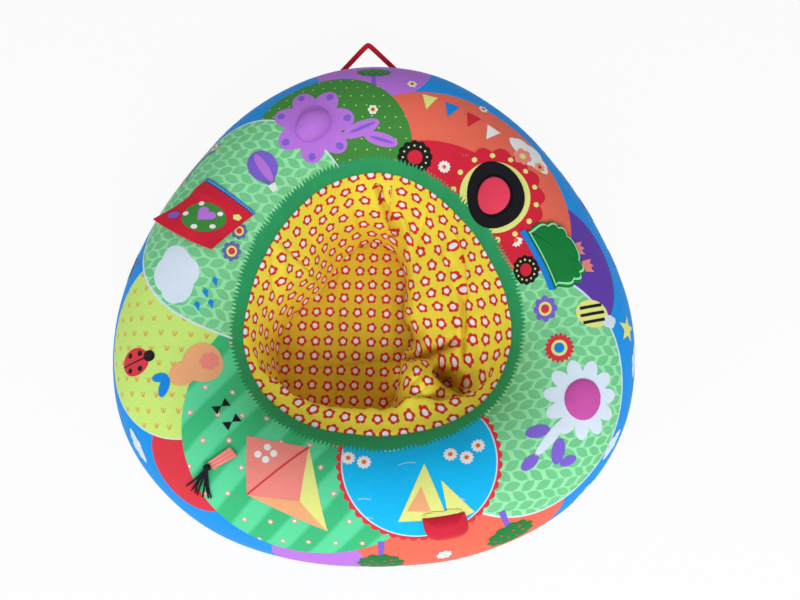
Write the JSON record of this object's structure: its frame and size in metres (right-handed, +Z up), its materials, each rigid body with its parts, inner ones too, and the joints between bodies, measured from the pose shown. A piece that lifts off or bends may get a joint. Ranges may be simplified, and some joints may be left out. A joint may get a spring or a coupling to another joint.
{
  "type": "inflatable play nest",
  "caption": "Three-cornered inflatable ring in a zipped printed cloth cover with a sewn-in seat well and soft play pieces; seats and props a baby on the floor.",
  "frame": {"origin": "middle of the nest's outline (carry loop included), on the floor", "axes": "+Z up, +Y from the ring's middle towards the carry loop, +X to the right seen from above"},
  "size_m": [0.9224, 0.9558, 0.2823],
  "materials": {
    "purple_print": "matte printed cotton",
    "coral_print": "matte printed cotton",
    "green_print": "matte printed cotton",
    "leaf_print": "matte printed cotton",
    "sky_print": "matte printed cotton",
    "lime_print": "matte printed cotton",
    "mint_print": "matte printed cotton",
    "pond_print": "matte printed cotton",
    "base_cloth": "matte woven",
    "liner_print": "matte printed cotton",
    "ring_vinyl": "soft glossy vinyl",
    "wadding": "matte fleece",
    "red_cloth": "matte woven",
    "blue_tape": "satin ribbon",
    "leaf_cloth": "matte woven",
    "lilac_cloth": "matte woven",
    "pink_cloth": "matte woven",
    "pale_cloth": "matte woven",
    "salmon_cloth": "satin ribbon",
    "black_cloth": "matte woven",
    "crinkle_film": "glossy film",
    "squeaker_plastic": "matte",
    "zip_nylon": "matte woven and moulded nylon",
    "zip_metal": "satin cast"
  },
  "bodies": {
    "nest": {"cover_panel_01": "purple_print", "cover_panel_02": "coral_print", "cover_panel_03": "green_print", "cover_panel_04": "leaf_print", "cover_panel_05": "sky_print", "cover_panel_06": "lime_print", "cover_panel_07": "mint_print", "cover_panel_08": "pond_print", "cover_panel_09": "pond_print", "cover_panel_10": "leaf_print", "cover_panel_11": "leaf_print", "base_cover": "base_cloth", "zip_tape_front": "zip_nylon", "zip_teeth_front": "zip_nylon", "zip_tape_rear": "zip_nylon", "zip_teeth_rear": "zip_nylon", "zip_stop_left": "zip_metal", "zip_stop_right": "zip_metal", "air_ring": "ring_vinyl", "valve_stem": "ring_vinyl", "well_wall_01": "liner_print", "well_wall_02": "liner_print", "well_wall_03": "liner_print", "well_wall_04": "liner_print", "well_wall_05": "liner_print", "well_wall_06": "liner_print", "well_wall_07": "liner_print", "well_wall_08": "liner_print", "well_wall_09": "liner_print", "well_wall_10": "liner_print", "well_wall_11": "liner_print", "well_wall_12": "liner_print", "well_floor": "liner_print", "seat_wadding": "wadding", "square_flap_binding": "blue_tape", "leaf_flap_ribbon": "blue_tape", "dome_cover": "lilac_cloth", "dome_squeaker": "squeaker_plastic", "press_ring": "black_cloth", "press_bellows": "squeaker_plastic", "tongue_trim": "pale_cloth", "oval_patch": "pink_cloth", "oval_wadding": "wadding"},
    "zip_slider": {"zip_slider": "zip_metal"},
    "zip_pull": {"zip_pull": "zip_metal"},
    "valve_plug": {"valve_plug": "squeaker_plastic"},
    "square_flap": {"square_flap": "red_cloth", "square_flap_film": "crinkle_film"},
    "leaf_flap": {"leaf_flap": "leaf_cloth", "leaf_flap_film": "crinkle_film"},
    "dome_press": {"dome_wadding": "wadding"},
    "press_pad": {"press_pad": "red_cloth"},
    "tongue": {"tongue_pad": "red_cloth", "tongue_filling": "wadding"},
    "ribbon_tab": {"ribbon_tab": "salmon_cloth"},
    "tassel": {"tassel": "black_cloth"},
    "carry_loop": {"carry_loop": "red_cloth"}
  },
  "joints": [
    {"name": "carry_loop_swing", "type": "hinge", "parent": "nest", "child": "carry_loop", "pos_m": [-0.01982, 0.42868, 0.15127], "axis": [0.9991, 0.0419, 0], "range_deg": [-95, 50], "stiffness_Nm_per_rad": 0.03},
    {"name": "square_flap_lift", "type": "hinge", "parent": "nest", "child": "square_flap", "pos_m": [-0.25078, 0.12629, 0.26576], "axis": [-0.8224, 0.5589, 0.1065], "range_deg": [0, 110]},
    {"name": "leaf_flap_lift", "type": "hinge", "parent": "nest", "child": "leaf_flap", "pos_m": [0.27069, 0.02147, 0.25886], "axis": [0.3954, -0.9185, 0], "range_deg": [0, 110]},
    {"name": "dome_press_in", "type": "slide", "parent": "nest", "child": "dome_press", "axis": [-0.1154, 0.1932, -0.9744], "range_m": [0, 0.005], "stiffness_N_per_m": 900, "deforming": ["dome_cover", "dome_squeaker"]},
    {"name": "pad_press_in", "type": "slide", "parent": "nest", "child": "press_pad", "axis": [0.3879, 0.2579, -0.8849], "range_m": [0, 0.004], "stiffness_N_per_m": 900, "deforming": ["press_bellows"]},
    {"name": "tongue_lift", "type": "hinge", "parent": "nest", "child": "tongue", "pos_m": [0.1014, -0.38281, 0.26062], "axis": [-0.989, -0.1476, 0], "range_deg": [0, 90]},
    {"name": "ribbon_tab_lift", "type": "hinge", "parent": "nest", "child": "ribbon_tab", "pos_m": [-0.21704, -0.28777, 0.26226], "axis": [-0.6856, 0.726, -0.0549], "range_deg": [0, 80]},
    {"name": "tassel_lift", "type": "hinge", "parent": "ribbon_tab", "child": "tassel", "pos_m": [-0.25059, -0.30879, 0.27209], "axis": [-0.6496, 0.7598, 0.027], "range_deg": [0, 75]},
    {"name": "zip_slide", "type": "slide", "parent": "nest", "child": "zip_slider", "axis": [-1, 0, 0], "range_m": [0, 0.251]},
    {"name": "zip_pull_swing", "type": "hinge", "parent": "zip_slider", "child": "zip_pull", "pos_m": [0.1257, -0.26614, 0.0063], "axis": [0, -1, 0], "range_deg": [0, 110]},
    {"name": "valve_plug_pull", "type": "slide", "parent": "nest", "child": "valve_plug", "axis": [0, 0.8487, -0.5288], "range_m": [0, 0.012]}
  ]
}
